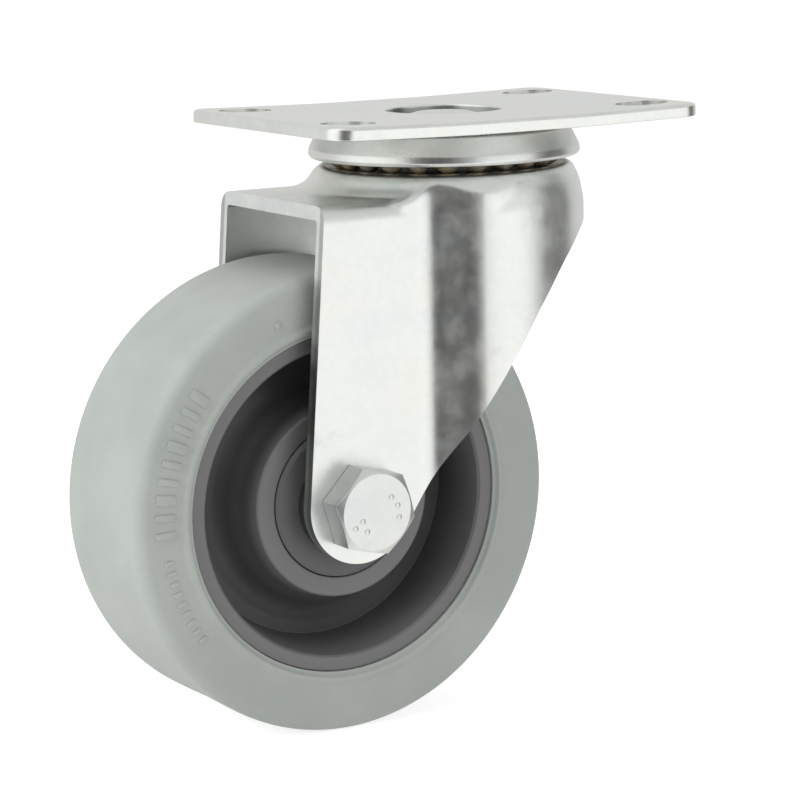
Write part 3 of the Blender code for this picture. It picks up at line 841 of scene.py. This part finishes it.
nut = prism("lock_nut", hexagon, LEG_FACE + 0.1, nut_high.y - 3, "XZ")
cut(nut, turned("nut_chamfer", rounded([
    (0, 20), (10.8, 20), (10.8, nut_high.y - 4.2), (face, nut_high.y - 3, 0.5),
    (0, nut_high.y - 3)]), "Y", WHEEL), "INTERSECT")
soften(nut, 0.25, 3, 35)
cut(nut, turned("collar", rounded([
    (0, nut_high.y - 6), (7.9, nut_high.y - 6), (7.9, nut_high.y, 1.0),
    (6.9, nut_high.y, 0.3), (6.6, nut_high.y - 1), (0, nut_high.y - 1)]), "Y", WHEEL),
    "UNION")
cut(nut, turned("nut_bore", rounded([
    (0, 10), (SHANK + 0.2, 10), (SHANK + 0.2, nut_high.y - 3.2), (7.0, nut_high.y - 3.2),
    (7.0, nut_high.y - 0.9), (6.5, nut_high.y - 0.4), (6.5, 50), (0, 50)]), "Y", WHEEL))
weld(nut)
fit(nut, "fork", "zinc_plated_steel", zinc_forged, "axle_nut", weighted=True)

# %% [markdown]
# ## The tyre
# A rubber band moulded round the core. Its tread is flat, its shoulders are round, and a
# thin bead stands up next to the core where the mould halves met the rim. The maker's
# lettering is left off: plain raised bars in two sizes stand where such letters would, on
# both sidewalls, with one square mark apart from them.

# %% Tyre
SHOULDER = 3.5
TYRE_SEAT = CORE_RADIUS + 0.06
half = [(WHEEL_RADIUS - 0.12, 0), (WHEEL_RADIUS, 9, 60),
        (WHEEL_RADIUS, TYRE_FACE, SHOULDER), (44.5, TYRE_FACE + 0.05, 10),
        (39.6, TYRE_FACE - 0.05, 0.8), (38.7, TYRE_FACE + 0.5, 0.4),
        (38.0, TYRE_FACE + 0.45, 0.4), (37.4, TYRE_FACE - 0.2, 0.3),
        (TYRE_SEAT, TYRE_FACE - 0.45)]
outline = rounded(half + [(TYRE_SEAT, 0)], 8)[:-1]
loop = outline + [(r, -y) for r, y in reversed(outline) if y > 0.01]
tyre = turned("tyre_rubber", loop, "Y", WHEEL, 192)


def raised_bar(side, radius, angle, length, width):
    """A small bar that lies along a radius and stands 0.3 mm off the sidewall."""
    bpy.ops.object.select_all(action="DESELECT")
    bpy.ops.mesh.primitive_cube_add(size=MM)
    bar = bpy.context.object
    bar.scale = (length, 0.9, width)
    bar.location = Vector((radius, side * (TYRE_FACE - 0.12), 0)) * MM
    bpy.ops.object.transform_apply(location=True, scale=True)
    modify(bar, "BEVEL", width=0.18 * MM, segments=2)
    bar.rotation_euler = (0, -math.radians(angle), 0)
    bpy.ops.object.transform_apply(rotation=True)
    bar.location = WHEEL * MM
    bpy.ops.object.transform_apply(location=True)
    return bar


BAR_RADIUS = 43.4
BARS = 9                               # in each of the two rows on a sidewall
bars = []
for side in (-1, 1):
    for k in range(BARS):
        width = 1.5 if k % 3 else 2.2
        bars.append(raised_bar(side, BAR_RADIUS, 143 + 4.9 * k, 4.6, width))
    for k in range(BARS):
        bars.append(raised_bar(side, BAR_RADIUS, 190 + 3.1 * k, 2.2, 0.9))
    bars.append(raised_bar(side, 42.5, 112, 1.6, 1.6))
tyre = join([tyre] + bars)
fit(tyre, "wheel", "grey_rubber", grey_rubber, "tyre", smooth=40)

# %% [markdown]
# ## The core and its caps
# The core is moulded in dark plastic: a rim under the tyre, a thin web and a hub, all
# turned in one profile. The wall of the rim meets the web in a crisp corner, and the web
# flows up to the hub in a wide hollow curve. Discs close the hub on both sides.

# %% Core and caps
HUB_RADIUS = 20.75
HUB_FACE = 15.0
half = [(CORE_RADIUS, 0), (CORE_RADIUS, RIM_FACE, 0.3), (33.9, RIM_FACE, 0.4),
        (33.4, RIM_FACE - 0.6, 0.5), (31.3, 3.0, 0.25), (28.4, 3.4, 5), (24.4, 4.6, 6),
        (21.7, 9.0, 6), (HUB_RADIUS, HUB_FACE, 0.7), (16.6, HUB_FACE, 0.3),
        (16.6, 13.1, 0.2), (13.1, 13.1), (13.1, 0)]
outline = rounded(half, 7)
core = turned("core_moulding", outline + [(r, -y) for r, y in reversed(outline) if y > 0.01],
              "Y", WHEEL, 160)
fit(core, "wheel", "dark_plastic", core_plastic, "wheel_core")

for name, side in (("bolt_side", -1), ("nut_side", 1)):
    ring = rounded([(8.0, 13.4), (16.4, 13.4), (16.4, 15.0, 0.3), (15.5, 15.6, 0.6),
                    (11.2, 15.9, 1), (10.8, 15.4, 0.3), (10.0, 15.4, 0.3),
                    (9.5, 15.9, 0.3), (8.0, 15.6, 0.2)])
    cap = turned(f"hub_cap_{name}", [(r, side * y) for r, y in ring], "Y", WHEEL)
    fit(cap, "wheel", "dark_plastic", cap_plastic, f"dust_cap_{name}")

# %% [markdown]
# ## Solids that stay as they are
# The sleeve, the bearing and the nylon ring of the lock nut hardly show. Their solids are
# right, so they only get a finish.

# %% Carried-over solids
for node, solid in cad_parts.items():
    if node in ("roller_cage", "nut_insert"):
        finish = cage_nylon
    elif node in ("axle_sleeve", "bearing_bush") or node.startswith("bearing_roller"):
        finish = ground_steel
    else:
        continue
    solid.data.materials.clear()
    solid.data.materials.append(finish)
    print(node, "keeps its shape, finished as", finish.name)

# %% [markdown]
# ## The studio
# The floor is plain and pale. Metal shows what stands round it, so the studio matters as
# much as the plating. A wide white card stands to the front and right, and the room is dark
# behind the camera and at the far right. Those dark gaps draw the bands down the fork's
# sweep and its round front, and a weak glow on the left lights its rear. All of this is
# painted into the world, and only glossy rays see it: the camera and the diffuse light see
# a plain pale room.

# %% World, floor and lights
world = bpy.data.worlds.new("studio")
bpy.context.scene.world = world
world.use_nodes = True
room = Shade(world.node_tree)
ray = room.node("ShaderNodeTexCoord", output="Generated")
level_ray = room.node("ShaderNodeVectorMath", {"operation": "MULTIPLY"},
                      {0: ray, 1: (1, 1, 0)})
level_ray = room.node("ShaderNodeVectorMath", {"operation": "NORMALIZE"}, {0: level_ray})
height = room.node("ShaderNodeSeparateXYZ", None, {0: ray}, output="Z")


def around(azimuth, inner, outer):
    """1 within inner degrees of an azimuth, counted from -Y towards +X, 0 past outer."""
    aim = (math.sin(math.radians(azimuth)), -math.cos(math.radians(azimuth)), 0)
    cosine = room.node("ShaderNodeVectorMath", {"operation": "DOT_PRODUCT"},
                       {0: level_ray, 1: aim}, output="Value")
    return room.ramp(cosine, math.cos(math.radians(outer)), math.cos(math.radians(inner)))


ROOM_LIGHT = 0.79
low_band = room.ramp(height, 0.25, 0.50, 1, 0) * room.ramp(height, -0.55, -0.35, 0, 1)
card_band = room.ramp(height, 0.02, 0.32, 1, 0) * room.ramp(height, -0.26, -0.14, 0.8, 1)
card = around(22, 19, 31) * card_band
gap_behind_camera = around(-36, 20, 33) * low_band
gap_right = around(72, 12, 26) * low_band
glow_left = around(-95, 15, 45) * 0.5
brightness = (ROOM_LIGHT - 0.70 * gap_behind_camera) - 0.62 * gap_right + glow_left
brightness = brightness + 0.50 * card - 0.05 * room.ramp(height, 0.4, 0.9)
studio = room.node("ShaderNodeVectorMath", {"operation": "SCALE"},
                   {0: (1.0, 1.0, 0.985), "Scale": brightness})
glossy = room.node("ShaderNodeLightPath", output="Is Glossy Ray")
camera_ray = room.node("ShaderNodeLightPath", output="Is Camera Ray")
seen = room.mix(glossy, room.mix(camera_ray, grey(0.55), grey(0.965)), studio)
background = world.node_tree.nodes["Background"]
world.node_tree.links.new(seen.socket, background.inputs["Color"])

FLOOR_Z = CAD_BOX[0].z
bpy.ops.object.select_all(action="DESELECT")
bpy.ops.mesh.primitive_plane_add(size=12, location=(0, 0, FLOOR_Z))
floor = bpy.context.object
floor.name = "floor"
floor_paint, tool, shader, place = new_finish("floor_paint")
feed(tool, shader, Base_Color=grey(0.5), Roughness=0.55 + 0.1 * tool.noise(place, 40),
     Emission_Color=grey(1.0), Emission_Strength=0.68)
floor.data.materials.append(floor_paint)
floor.visible_glossy = False


def softbox(name, place, aim, size, power):
    """A square area light that lights surfaces but isn't mirrored in them."""
    lamp = bpy.data.objects.new(name, bpy.data.lights.new(name, "AREA"))
    bpy.context.scene.collection.objects.link(lamp)
    lamp.data.size = size
    lamp.data.energy = power
    lamp.location = place
    lamp.rotation_euler = (Vector(aim) - Vector(place)).to_track_quat("-Z", "Y").to_euler()
    lamp.visible_glossy = False
    print(f"{name}: {power} W")


softbox("left_box", (-0.85, -0.05, 0.30), (-0.03, 0, -0.08), 0.5, 8)
softbox("front_box", (0.25, -0.85, 0.25), (-0.03, 0, -0.06), 0.5, 3.6)
softbox("top_box", (0.1, 0.2, 0.8), (0, 0, -0.05), 0.7, 4)
